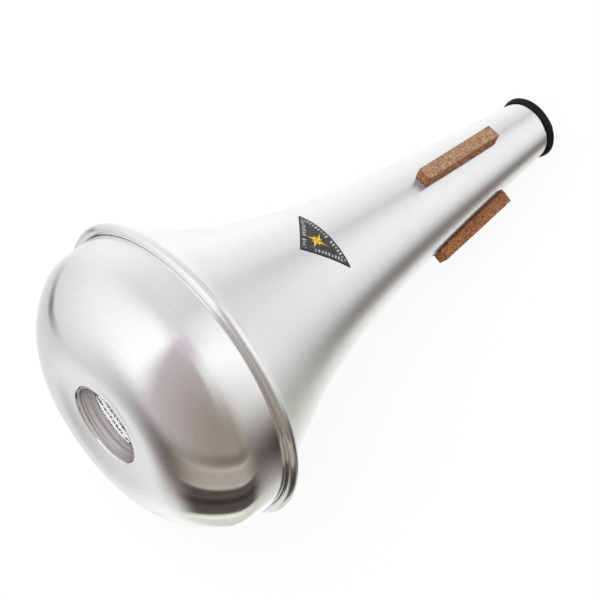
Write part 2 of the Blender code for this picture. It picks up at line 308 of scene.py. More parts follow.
def collarLine():
    half = spin["sheet"] / 2
    z = np.linspace(collar["start"] + half, collar["start"] + collar["length"] - half, collar["rows"])
    return np.stack([np.full_like(z, collar["outer"]), z], 1)[::-1]


collarLoop = sheetLoop(collarLine(), spin["sheet"], collar["endSteps"])
collarPiece = turnedMesh("portCollar", collarLoop, collar["steps"])
print("collar turned")

# Soft edging over the narrow end: a U section with eased corners, cut to length and closed by a
# butt joint, where one end stands a little proud
edging = {
    "thickness": 0.0016,
    "outer": 0.019365,
    "inner": 0.01435,
    "face": 0.320129,
    "outerLeg": 0.0039,
    "squeeze": 0.62,
    "squeezeFrom": 0.0010,
    "innerLeg": 0.0043,
    "corner": 0.0011,
    "steps": 480,
    "jointTurn": math.radians(48.0),
    "jointGap": 0.00022,
    "jointLift": 0.00042,
    "jointReach": 0.0060,
    "jointDepth": 0.0006,
    "rest": 0.00004,
    "inset": 0.00006,
    "wave": 0.00006,
    "footEase": 0.0006,
    "rows": 9,
}


def edgingLine():
    face, outer, inner = edging["face"], edging["outer"], edging["inner"]
    rows = edging["rows"]
    outerFoot = np.array([outer, face - edging["outerLeg"] + edging["footEase"]])
    innerFoot = np.array([inner, face - edging["innerLeg"] + edging["footEase"]])
    first = easedCorner(outerFoot, (outer, face), (inner, face), edging["corner"], rows)
    second = easedCorner((outer, face), (inner, face), innerFoot, edging["corner"], rows)
    legOut = np.linspace(outerFoot, first[0], rows)
    legIn = np.linspace(second[-1], innerFoot, rows)
    # The line runs down on the outside first, so that its inward side is the hollow of the U
    return np.concatenate([legOut[:-1], first, second, legIn[1:]])[::-1]


# The outer leg thins towards its end: its section is squeezed onto its inner side.
def edgingSection():
    loop = sheetLoop(edgingLine(), edging["thickness"])
    base = edging["outer"] - edging["thickness"]
    reach = edging["outerLeg"] - edging["squeezeFrom"]
    down = np.clip((edging["face"] - edging["squeezeFrom"] - loop[:, 1]) / reach, 0.0, 1.0)
    thin = 1.0 - edging["squeeze"] * down**1.5
    loop[:, 0] = np.where(loop[:, 0] > base, base + (loop[:, 0] - base) * thin, loop[:, 0])
    return loop


# Radius + lift that fades from the joint + slow wave, and a narrow slot at the joint.
def edgingSwell(turn, radius, z):
    offset = (turn - edging["jointTurn"] + math.pi) % (2 * math.pi) - math.pi
    distance = offset * edging["outer"]
    lift = edging["jointLift"] * np.exp(-np.maximum(-distance, 0.0) / edging["jointReach"])
    lift = np.where(distance < 0, lift, edging["rest"])
    slot = edging["jointDepth"] * np.exp(-((distance / edging["jointGap"]) ** 2))
    wave = edging["wave"] * (np.sin(3 * turn + 1.0) + 0.6 * np.sin(7 * turn + 2.3))
    outside = radius > (edging["outer"] + edging["inner"]) / 2 * lie["roundShare"]
    change = np.where(outside, lift - slot, -0.5 * lift + slot)
    # The change fades on the side that lies on the floor
    floorSide = np.clip(np.cos(turn) + 0.9, 0.0, 1.0)
    return radius + (change + wave) * floorSide - edging["inset"] * outside, z


edgingPiece = turnedMesh("noseEdging", edgingSection(), edging["steps"], edgingSwell)
print("edging bent round the nose")

# Three cork strips: a long box with eased edges whose sole follows the flare
cork = {
    "start": 0.216629,
    "length": 0.0596,
    "width": 0.0086,
    "heightWide": 0.0066,
    "heightNose": 0.0076,
    "turns": (0.0, math.radians(112.0), math.radians(236.0)),
    "halfUp": 0.0036,
    "edge": 0.00055,
    "grain": 0.00034,
    "lump": 0.00007,
    "lumpSize": 0.0016,
    "fineLumpSize": 0.0007,
    "chip": 0.00042,
    "chipSize": 0.0019,
    "crumble": 0.0007,
    "paleOuterFrom": 0.92,
    "gap": 0.00006,
}


# Value noise: hashed corners of a lattice of that size, blended with f*f*(3-2f), 0 to 1.
def lumpNoise(points, size, seed):
    cell = np.floor(points / size)
    f = points / size - cell
    f = f * f * (3 - 2 * f)
    total = np.zeros(points.shape[:-1])
    for i in (0, 1):
        for j in (0, 1):
            for k in (0, 1):
                spot = (cell + (i, j, k)) @ np.array([127.1, 311.7, 74.7]) + seed
                share = np.where((i, j, k), f, 1 - f).prod(-1)
                total += share * np.modf(np.abs(np.sin(spot) * 43758.5453))[0]
    return total


# Grid over a box: rings along x, closed at each end by rings that shrink to the middle.
def boxSkin(half, pitch):
    around = []
    corners = [(-half[1], -half[2]), (half[1], -half[2]), (half[1], half[2]), (-half[1], half[2])]
    for start, end in zip(corners, corners[1:] + corners[:1]):
        count = int(math.dist(start, end) / pitch)
        around.append(np.linspace(start, end, count, endpoint=False))
    around = np.concatenate(around)
    endRings = int(half[2] / pitch)
    along = np.linspace(-half[0], half[0], int(2 * half[0] / pitch) + 1)
    close = np.linspace(0.0, 1.0, endRings + 1)[:-1]
    x = np.concatenate([np.full(endRings, -half[0]), along, np.full(endRings, half[0])])
    k = np.concatenate([close, np.ones(len(along)), close[::-1]])
    skin = np.empty((len(x), len(around), 3))
    skin[..., 0] = x[:, None]
    skin[..., 1:] = around * k[:, None, None]
    return skin


# Each point is pulled to the inner box and pushed out again by the radius, all edges round.
def eased(skin, half, radius):
    inner = np.clip(skin, radius - np.array(half), np.array(half) - radius)
    away = skin - inner
    return inner + away / np.linalg.norm(away, axis=-1, keepdims=True) * radius


# Box (along, across, up) set on the flare: up = 1 at the strip's top, -1 at its sole.
def corkGrid(turn, seed):
    start, length = cork["start"], cork["length"]
    topWide = flareRadius(start) + cork["heightWide"]
    topNose = flareRadius(start + length) + cork["heightNose"]
    dip = math.atan2(topWide - topNose, length)
    half = (length / math.cos(dip) / 2, cork["width"] / 2, cork["halfUp"])
    flat = boxSkin(half, cork["grain"])
    skin = eased(flat, half, cork["edge"])
    # Corners crumble a little: the nearer an edge, the more a lump may sink
    close = np.sort(np.abs(np.array(half) - np.abs(flat)), axis=-1)[..., 1]
    nearEdge = np.exp(-close / cork["crumble"])
    away = (skin / np.array(half)) ** 9
    away /= np.linalg.norm(away, axis=-1, keepdims=True) + 1e-12
    spot = skin + np.array([seed * 0.31, 0.0, 0.0])
    lump = lumpNoise(spot, cork["lumpSize"], seed)
    lump = lump + 0.6 * lumpNoise(spot, cork["fineLumpSize"], seed + 5) - 0.8
    chip = np.clip(lumpNoise(spot, cork["chipSize"], seed + 9) - 0.62, 0.0, 1.0) * 2.6
    skin = skin + away * (cork["lump"] * lump - cork["chip"] * chip * nearEdge)[..., None]
    across = skin[..., 1]
    upShare = (skin[..., 2] / half[2] + 1) / 2
    topR = (topWide + topNose) / 2 - math.sin(dip) * skin[..., 0]
    topZ = start + length / 2 + math.cos(dip) * skin[..., 0]
    # The sole is where the line down from the top meets the flare, found by a few rounds
    depth = np.full_like(topR, cork["heightWide"])
    for _ in range(4):
        ground = flareRadius(topZ - math.sin(dip) * depth) * lie["roundShare"]
        sole = np.sqrt(np.maximum(ground**2 - across**2, 0.0)) + cork["gap"]
        depth = (topR - sole) / math.cos(dip)
    sink = depth * (1 - upShare)
    radius = topR - math.cos(dip) * sink
    z = topZ - math.sin(dip) * sink
    x = radius * math.cos(turn) - across * math.sin(turn)
    y = radius * math.sin(turn) + across * math.cos(turn)
    # Share of the outer face, which the cork material makes paler
    paleOuterFace = (flat[..., 2] / half[2] - cork["paleOuterFrom"]) / (1.0 - cork["paleOuterFrom"])
    paleOuterFace = np.clip(paleOuterFace, 0.0, 1.0)
    return np.stack([x, y, z], -1), paleOuterFace, nearEdge


# Closes poles by joining points that meet.
def weld(obj):
    work = bmesh.new()
    work.from_mesh(obj.data)
    bmesh.ops.remove_doubles(work, verts=work.verts, dist=0.000002)
    bmesh.ops.dissolve_degenerate(work, edges=work.edges, dist=0.000001)
    work.to_mesh(obj.data)
    work.free()
    return obj


def plainUv(countA, countB):
    u, v = np.meshgrid(np.linspace(0, 1, countA), np.linspace(0, 1, countB), indexing="ij")
    return np.stack([u, v], -1)


corkPieces = []
for number, turn in enumerate(cork["turns"], 1):
    grid, paleOuterFace, nearEdge = corkGrid(turn, 3.7 * number)
    uv = plainUv(grid.shape[0], grid.shape[1] + 1)
    marks = {"paleOuterFace": paleOuterFace, "nearEdge": nearEdge}
    piece = gridMesh(f"corkStrip{number}", grid, False, True, uv, marks)
    corkPieces.append(weld(piece))
print("corks cut:", len(corkPieces))

# Badge: a sheet with eased corners, flat when unrolled. A point of it is found from its distance
# to the tip of the cone that touches the flare there. Its rings shrink to the middle of the
# triangle, so each ring is at one distance from the edge.
badge = {
    "start": 0.120729,
    "height": 0.0219,
    "halfBase": 0.0207,
    "corner": 0.0007,
    "cornerSteps": 12,
    "baseRows": 41,
    "thickness": 0.00035,
    "rimDrop": 0.3,
    "lift": 0.00005,
    "rings": 40,
    "around": 300,
}


# Tip, right and left corner.
def badgeCorners():
    half, height = badge["halfBase"], badge["height"]
    return np.array([[0.0, 0.0], [half, height], [-half, height]])


def badgeOutline():
    tip, right, left = badgeCorners()
    base = np.linspace(right, left, badge["baseRows"])
    reach, steps = badge["corner"], badge["cornerSteps"]
    side = right / np.linalg.norm(right)
    inward = np.array([1.0, 0.0])
    inside = base[np.abs(base[:, 0]) < badge["halfBase"] - reach]
    line = np.concatenate([
        easedCorner(left, tip, right, reach, steps),
        easedCorner(right - side, right, right - inward, reach, steps),
        inside,
        easedCorner(left + inward, left, tip, reach, steps),
    ])
    return evenLine(closed(line), badge["around"])


# For the print, in mm: the way round the triangle along the nearest edge, and how much further
# away the next edge is.
def edgeMeasures(flat):
    corners = badgeCorners()
    runs, distances = [], []
    before = 0.0
    for start, end in zip(corners, np.roll(corners, -1, axis=0)):
        side = np.linalg.norm(end - start)
        along = (end - start) / side
        away = flat - start
        runs.append(before + away @ along)
        distances.append(np.abs(away[..., 0] * along[1] - away[..., 1] * along[0]))
        before += side
    nearest = np.argmin(distances, axis=0)[None]
    run = np.take_along_axis(np.array(runs), nearest, 0)[0]
    ordered = np.sort(distances, axis=0)
    return run * 1000, (ordered[1] - ordered[0]) * 1000


# Unrolled (across, along) to the flare, through the cone that touches it mid badge.
def onFlare(flat, lift):
    step = 0.001
    z = badge["start"] + badge["height"] / 2
    slope = math.atan((flareRadius(z) - flareRadius(z + step)) / step)
    tip = flareRadius(badge["start"]) / math.sin(slope)
    reach = np.hypot(tip - flat[..., 1], flat[..., 0])
    turned = np.arctan2(flat[..., 0], tip - flat[..., 1]) / math.sin(slope)
    z = badge["start"] + (tip - reach) * math.cos(slope)
    return polar(flareRadius(z) * lie["roundShare"] + lift, turned, z)


def badgeMesh():
    outline = badgeOutline()
    side = math.hypot(badge["halfBase"], badge["height"])
    inRadius = badge["halfBase"] * badge["height"] / (badge["halfBase"] + side)
    middle = np.array([0.0, badge["height"] - inRadius])
    count = badge["rings"]
    share = np.concatenate([np.linspace(0.0, 1.0, count), [1.0, 0.5, 0.0]])
    lift = np.full(len(share), badge["lift"])
    lift[:count] += badge["thickness"]
    lift[count - 1] -= badge["thickness"] * badge["rimDrop"]
    flat = middle + (outline - middle) * share[:, None, None]
    grid = onFlare(flat[:, :-1], lift[:, None])
    u, v = np.meshgrid(share, np.linspace(0.0, 1.0, badge["around"] + 1), indexing="ij")
    edgeRun, cornerGap = edgeMeasures(flat[:, :-1])
    marks = {
        "edgeRun": edgeRun,
        "cornerGap": cornerGap,
        "gap": np.repeat((1 - share)[:, None] * inRadius * 1000, badge["around"], 1),
        "flatX": flat[:, :-1, 0] * 1000,
        "flatY": (flat[:, :-1, 1] - middle[1]) * 1000,
    }
    return weld(gridMesh("badge", grid, False, True, np.stack([v, u], -1), marks))


badgePiece = badgeMesh()
print("badge laid on the flare")

# Paper label on the inside of the bowl's side
label = {
    "start": 0.0272,
    "height": 0.0160,
    "arc": 0.0660,
    "turn": math.radians(200.0),
    "thickness": 0.00016,
    "gap": 0.00012,
    "corner": 0.0011,
    "curl": 0.0003,
    "sideFrom": 0.06,
    "along": 121,
    "across": 31,
}


# Radius = inside of the bowl's side less a small gap, with edges that lift a little.
def labelMesh():
    p = np.linspace(-1.0, 1.0, label["along"])[:, None]
    q = np.linspace(-1.0, 1.0, label["across"])[None, :]
    halfArc, halfHeight, corner = label["arc"] / 2, label["height"] / 2, label["corner"]
    # Corners are eased by narrowing the strip's ends
    end = np.maximum(np.abs(p) * halfArc - halfArc + corner, 0.0)
    narrow = corner - np.sqrt(np.maximum(corner**2 - end**2, 0.0))
    z = label["start"] + halfHeight + q * (halfHeight - narrow)
    face = bowlFace()
    face = face[face[:, 0] > label["sideFrom"]][::-1]
    side = np.interp(z, face[:, 1], face[:, 0])
    radius = (side - spin["sheet"]) * lie["roundShare"] - label["gap"]
    radius = radius - label["curl"] * (np.abs(p) ** 16 + 0.5 * np.abs(q) ** 12)
    turn = label["turn"] + p * halfArc / bowl["edgeRadius"]
    uv = plainUv(label["along"], label["across"])
    piece = gridMesh("innerLabel", polar(radius, turn, z), False, False, uv)
    sheet = piece.modifiers.new("paper", "SOLIDIFY")
    sheet.thickness = label["thickness"]
    sheet.offset = 0.0
    return piece


labelPiece = labelMesh()
print("label stuck inside the bowl")

# Materials. Groups hold what several of them share; the shaders stay in the materials.


# Gives inputs their numbers, colours or other nodes' outputs.
def plug(tree, inputs, values):
    for key, value in values.items():
        if isinstance(value, bpy.types.NodeSocket):
            tree.links.new(value, inputs[key])
        else:
            inputs[key].default_value = value


def addNode(tree, kind, values=None, **settings):
    node = tree.nodes.new("ShaderNode" + kind)
    for key, value in settings.items():
        setattr(node, key, value)
    plug(tree, node.inputs, values or {})
    return node


def mathNode(tree, operation, *values):
    node = addNode(tree, "Math", dict(enumerate(values)), operation=operation)
    return node.outputs[0]


def product(tree, first, *rest):
    for value in rest:
        first = mathNode(tree, "MULTIPLY", first, value)
    return first


def noise(tree, place, scale, detail=2.0, distortion=0.0):
    values = {"Vector": place, "Scale": scale, "Detail": detail, "Distortion": distortion}
    return addNode(tree, "TexNoise", values).outputs["Fac"]


def attribute(tree, name):
    return addNode(tree, "Attribute", attribute_name=name).outputs["Fac"]


def objectPlace(tree):
    return addNode(tree, "TexCoord").outputs["Object"]


# The two shares, along and across, of the surface's own map.
def surfaceShares(tree):
    uv = addNode(tree, "UVMap", uv_map="surface").outputs[0]
    return addNode(tree, "SeparateXYZ", {0: uv}).outputs


# Smoothstep of a value between two edges.
def smooth(tree, value, low, high, toLow=0.0, toHigh=1.0):
    values = {"Value": value, "From Min": low, "From Max": high, "To Min": toLow, "To Max": toHigh}
    node = addNode(tree, "MapRange", values, interpolation_type="SMOOTHSTEP")
    return node.outputs["Result"]


def mixColour(tree, factor, first, second):
    node = addNode(tree, "Mix", {0: factor, 6: first, 7: second}, data_type="RGBA")
    return node.outputs[2]


# A shader group. Each input is (name, default): a number, or a colour of four numbers.
def newGroup(name, inputs, outputs):
    tree = bpy.data.node_groups.new(name, "ShaderNodeTree")
    kinds = {1: "NodeSocketFloat", 3: "NodeSocketVector", 4: "NodeSocketColor"}
    for socketName, value in inputs:
        size = len(value) if isinstance(value, tuple) else 1
        socket = tree.interface.new_socket(socketName, in_out="INPUT", socket_type=kinds[size])
        socket.default_value = value
    for socketName, size in outputs:
        tree.interface.new_socket(socketName, in_out="OUTPUT", socket_type=kinds[size])
    source = tree.nodes.new("NodeGroupInput").outputs
    target = tree.nodes.new("NodeGroupOutput").inputs
    return tree, source, target


def useGroup(tree, group, values):
    return addNode(tree, "Group", values, node_tree=group).outputs


def grey(value):
    return (value, value, value, 1.0)


# Lines left by the spinning tool: noise stretched round the turn, fine and broad together.
def turningLinesGroup():
    tree, source, target = newGroup(
        "turningLines",
        [
            ("Along", 0.0), ("Turn", 0.0), ("Line Size", 0.35), ("Breaks", 1.0),
            ("Base", grey(0.9)), ("Streak", grey(0.8)),
            ("Roughness", 0.2), ("Roughness Change", 0.05),
        ],
        [("Color", 4), ("Roughness", 1), ("Height", 1)],
    )
    angle = product(tree, source["Turn"], 2 * math.pi)
    cosine = mathNode(tree, "COSINE", angle)
    sine = mathNode(tree, "SINE", angle)
    layers = []
    for spread, breaks, detail in ((1.0, 5.0, 2.0), (4.5, 2.2, 3.0), (20.0, 0.9, 2.0)):
        stretch = product(tree, source["Breaks"], breaks)
        size = product(tree, source["Line Size"], spread)
        along = mathNode(tree, "DIVIDE", source["Along"], size)
        x = product(tree, cosine, stretch)
        y = product(tree, sine, stretch)
        place = addNode(tree, "CombineXYZ", {0: x, 1: y, 2: along}).outputs[0]
        layers.append(noise(tree, place, 1.0, detail))
    fine, middle, broad = layers
    height = mathNode(tree, "MULTIPLY_ADD", fine, 0.6, product(tree, middle, 0.5))
    streak = smooth(tree, middle, 0.42, 0.72)
    wide = smooth(tree, broad, 0.35, 0.65)
    both = mathNode(tree, "MULTIPLY_ADD", wide, 0.2, product(tree, streak, 0.8))
    colour = mixColour(tree, both, source["Base"], source["Streak"])
    rough = mathNode(tree, "MULTIPLY_ADD", both, source["Roughness Change"], source["Roughness"])
    plug(tree, target, {"Color": colour, "Roughness": rough, "Height": height})
    return tree


# Soft marks of handling: broad noise with a ragged edge, as a mask.
def handlingGroup():
    tree, source, target = newGroup(
        "handlingMarks", [("Vector", (0.0, 0.0, 0.0)), ("Size", 0.03), ("Amount", 0.5)], [("Mask", 1)]
    )
    scale = mathNode(tree, "DIVIDE", 1.0, source["Size"])
    mask = smooth(tree, noise(tree, source["Vector"], scale, 5.0, 0.4), 0.45, 0.75)
    plug(tree, target, {"Mask": product(tree, mask, source["Amount"])})
    return tree


# Fine specks of dust, thicker in patches.
def dustGroup():
    tree, source, target = newGroup(
        "fineDust", [("Vector", (0.0, 0.0, 0.0)), ("Amount", 0.3)], [("Mask", 1)]
    )
    speck = smooth(tree, noise(tree, source["Vector"], 2600.0), 0.58, 0.75)
    patch = smooth(tree, noise(tree, source["Vector"], 90.0), 0.35, 0.7)
    plug(tree, target, {"Mask": product(tree, speck, patch, source["Amount"])})
    return tree


turningLines = turningLinesGroup()
handlingMarks = handlingGroup()
fineDust = dustGroup()


# A material with its Principled shader. Values are the sockets that are the same all over.
def newMaterial(name, values):
    material = bpy.data.materials.new(name)
    material.use_nodes = True
    tree = material.node_tree
    shader = tree.nodes["Principled BSDF"]
    plug(tree, shader.inputs, values)
    return material, tree, shader


# What changes over the surface: its colour, its roughness and a bump from that height.
def setSurface(tree, shader, colour, rough, height, distance, strength=1.0):
    values = {"Height": height, "Distance": distance, "Strength": strength}
    normal = addNode(tree, "Bump", values).outputs[0]
    plug(tree, shader.inputs, {"Base Color": colour, "Roughness": rough, "Normal": normal})


# Spun metal: how much of it shines as metal, base and streak colour, how often a line breaks off
# round the turn, roughness, line size in mm, how deep the lines are and how far they stretch the
# reflection. The collar is left dull by the tool.
metal = {
    "bodyAluminium": {
        "shine": 1.0,
        "base": (0.93, 0.93, 0.935, 1), "streak": (0.905, 0.90, 0.91, 1), "breaks": 1.0,
        "rough": 0.18, "change": 0.03, "line": 0.20, "depth": 0.0000006, "stretch": 0.82,
    },
    "bowlAluminium": {
        "shine": 1.0,
        "base": (0.93, 0.93, 0.935, 1), "streak": (0.90, 0.895, 0.90, 1), "breaks": 1.0,
        "rough": 0.11, "change": 0.03, "line": 0.20, "depth": 0.0000006, "stretch": 0.75,
    },
    "collarAluminium": {
        "shine": 0.5,
        "base": (0.49, 0.455, 0.455, 1), "streak": (0.20, 0.18, 0.185, 1), "breaks": 0.22,
        "rough": 0.42, "change": 0.10, "line": 0.16, "depth": 0.000006, "stretch": 0.0,
    },
}


def metalMaterial(name, loop):
    finish = metal[name]
    profile = lineLength(closed(loop))[-1]
    shine = {"Metallic": finish["shine"], "Anisotropic": finish["stretch"]}
    material, tree, shader = newMaterial(name, shine)
    parts = surfaceShares(tree)
    along = product(tree, parts[0], profile * 1000)
    spun = useGroup(tree, turningLines, {
        "Along": along, "Turn": parts[1], "Line Size": finish["line"], "Breaks": finish["breaks"],
        "Base": finish["base"], "Streak": finish["streak"],
        "Roughness": finish["rough"], "Roughness Change": finish["change"],
    })
    place = objectPlace(tree)
    touched = useGroup(tree, handlingMarks, {"Vector": place, "Size": 0.028, "Amount": 0.05})
    rough = mathNode(tree, "ADD", spun["Roughness"], touched["Mask"])
    tangent = addNode(tree, "Tangent", direction_type="UV_MAP", uv_map="surface").outputs[0]
    plug(tree, shader.inputs, {"Tangent": tangent})
    setSurface(tree, shader, spun["Color"], rough, spun["Height"], finish["depth"])
    return material


edgingLook = {
    "black": (0.006, 0.006, 0.0065, 1),
    "rubbed": (0.013, 0.013, 0.0135, 1),
    "dust": (0.30, 0.29, 0.28, 1),
    "pebble": 1700.0,
    "unevenness": 420.0,
}


# Matt black plastic with a fine pebble, a soft sheen and a little dust.
def edgingMaterial():
    look = edgingLook
    material, tree, shader = newMaterial("edging", {"Specular IOR Level": 0.18})
    place = objectPlace(tree)
    pebble = addNode(tree, "TexVoronoi", {"Vector": place, "Scale": look["pebble"]})
    uneven = noise(tree, place, look["unevenness"], 4.0)
    height = mathNode(tree, "ADD", pebble.outputs["Distance"], uneven)
    dust = useGroup(tree, fineDust, {"Vector": place, "Amount": 0.10})
    rubbed = useGroup(tree, handlingMarks, {"Vector": place, "Size": 0.006, "Amount": 0.6})
    black = mixColour(tree, rubbed["Mask"], look["black"], look["rubbed"])
    colour = mixColour(tree, dust["Mask"], black, look["dust"])
    rough = mathNode(tree, "MULTIPLY_ADD", uneven, 0.2, 0.5)
    setSurface(tree, shader, colour, rough, height, 0.00005, 0.6)
    return material


# Pressed cork: granules of two sizes, each of its own tone, dark specks between them.
def corkGrainGroup():
    tree, source, target = newGroup(
        "corkGrain",
        [
            ("Vector", (0.0, 0.0, 0.0)), ("Size", 0.0011), ("Light", grey(0.5)),
            ("Middle", grey(0.3)), ("Dark", grey(0.15)), ("Speck", grey(0.03)), ("Specks", 0.5),
        ],
        [("Color", 4), ("Height", 1), ("Roughness", 1)],
    )
    scale = mathNode(tree, "DIVIDE", 1.0, source["Size"])
    bend = addNode(tree, "TexNoise", {"Vector": source["Vector"], "Scale": scale}).outputs["Color"]
    shift = {0: bend, 1: (0.0005, 0.0005, 0.0005), 2: source["Vector"]}
    place = addNode(tree, "VectorMath", shift, operation="MULTIPLY_ADD").outputs[0]
    cells = {"Vector": place, "Scale": scale}
    granule = addNode(tree, "TexVoronoi", cells)
    edge = addNode(tree, "TexVoronoi", cells, feature="DISTANCE_TO_EDGE")
    tone = addNode(tree, "SeparateColor", {0: granule.outputs["Color"]}).outputs
    light = mixColour(tree, smooth(tree, tone[0], 0.25, 0.8), source["Middle"], source["Light"])
    mixed = mixColour(tree, smooth(tree, tone[1], 0.72, 0.95), light, source["Dark"])
    wider = {"Vector": source["Vector"], "Scale": product(tree, scale, 0.9)}
    fleck = addNode(tree, "TexVoronoi", wider)
    pick = addNode(tree, "SeparateColor", {0: fleck.outputs["Color"]}).outputs
    small = smooth(tree, fleck.outputs["Distance"], 0.40, 0.22)
    chosen = product(tree, small, smooth(tree, pick[2], 0.80, 0.84), source["Specks"])
    crack = smooth(tree, edge.outputs["Distance"], 0.07, 0.0, 0.0, 0.35)
    fibre = noise(tree, source["Vector"], product(tree, scale, 3.5), 3.0)
    shade = smooth(tree, fibre, 0.3, 0.7)
    soft = mixColour(tree, product(tree, shade, 0.28), mixed, source["Dark"])
    lined = mixColour(tree, crack, soft, source["Dark"])
    rise = mathNode(tree, "MULTIPLY_ADD", tone[0], 0.5, product(tree, shade, 0.3))
    plug(tree, target, {
        "Color": mixColour(tree, chosen, lined, source["Speck"]),
        "Height": mathNode(tree, "SUBTRACT", rise, mathNode(tree, "ADD", crack, chosen)),
        "Roughness": mathNode(tree, "MULTIPLY_ADD", shade, 0.12, 0.74),
    })
    return tree


corkGrain = corkGrainGroup()

corkLook = {
    "cut": {
        "Size": 0.00066, "Specks": 0.7,
        "Light": (0.56, 0.26, 0.115, 1), "Middle": (0.31, 0.112, 0.044, 1),
        "Dark": (0.14, 0.046, 0.019, 1), "Speck": (0.035, 0.014, 0.007, 1),
    },
    # Paler, less red cork for the outer face
    "paleOuterFace": {
        "Size": 0.00066, "Specks": 0.8,
        "Light": (0.60, 0.375, 0.235, 1), "Middle": (0.37, 0.20, 0.118, 1),
        "Dark": (0.20, 0.10, 0.056, 1), "Speck": (0.060, 0.032, 0.022, 1),
    },
    # Painted shade along the cork's edges, where its sides turn from the light
    "wearAndShade": (0.10, 0.045, 0.022, 1),
    # Painted shade for the cork as the metal mirrors it: mauve high up, dark brown low down
    "paintedReflectionShadeHigh": (0.30, 0.265, 0.275, 1),
    "paintedReflectionShadeLow": (0.10, 0.06, 0.045, 1),
    "lowBelow": 0.042,
    "highAbove": 0.050,
}


# Pressed cork, paler and less red on its outer face.
def corkMaterial():
    look = corkLook
    material, tree, shader = newMaterial("cork", {"Specular IOR Level": 0.3})
    place = objectPlace(tree)
    grain = useGroup(tree, corkGrain, {"Vector": place, **look["cut"]})
    paleOuterGrain = useGroup(tree, corkGrain, {"Vector": place, **look["paleOuterFace"]})
    colour = mixColour(tree, attribute(tree, "paleOuterFace"), grain["Color"], paleOuterGrain["Color"])
    # Painted shade: the cork is darker near its edges, where its sides turn from the light
    wearAndShade = smooth(tree, attribute(tree, "nearEdge"), 0.35, 1.0, 0.0, 0.6)
    colour = mixColour(tree, wearAndShade, colour, look["wearAndShade"])
    # Painted shade in the reflection: seen in the metal, the cork is painted a soft mauve shade, and a
    # darker brown on the lower corks
    mirrored = addNode(tree, "LightPath").outputs["Is Glossy Ray"]
    shaded = product(tree, mirrored, 0.92)
    height = addNode(tree, "SeparateXYZ", {0: place}).outputs[2]
    low = smooth(tree, height, look["highAbove"], look["lowBelow"])
    paintedReflectionShade = mixColour(tree, low, look["paintedReflectionShadeHigh"], look["paintedReflectionShadeLow"])
    colour = mixColour(tree, shaded, colour, paintedReflectionShade)
    setSurface(tree, shader, colour, grain["Roughness"], grain["Height"], 0.00018, 0.8)
    return material


badgePrint = {
    "ground": (0.040, 0.042, 0.050, 1),
    "groundWorn": (0.075, 0.076, 0.084, 1),
    "edge": (0.018, 0.018, 0.020, 1),
    "line": (0.52, 0.50, 0.48, 1),
    "gold": (0.80, 0.56, 0.06, 1),
    "goldDark": (0.36, 0.22, 0.02, 1),
    "edgeWidth": 0.45,
    "lineWarm": (0.46, 0.36, 0.30, 1),
    "ticksFrom": 0.9,
    "ticksTo": 3.3,
    "tickPitch": 1.9,
    "tickWidth": 0.46,
    "tickCut": 0.8,
    "blanks": 0.93,
    "starArm": 7.4,
    "starPower": 0.46,
    "starTurn": math.radians(28.0),
}


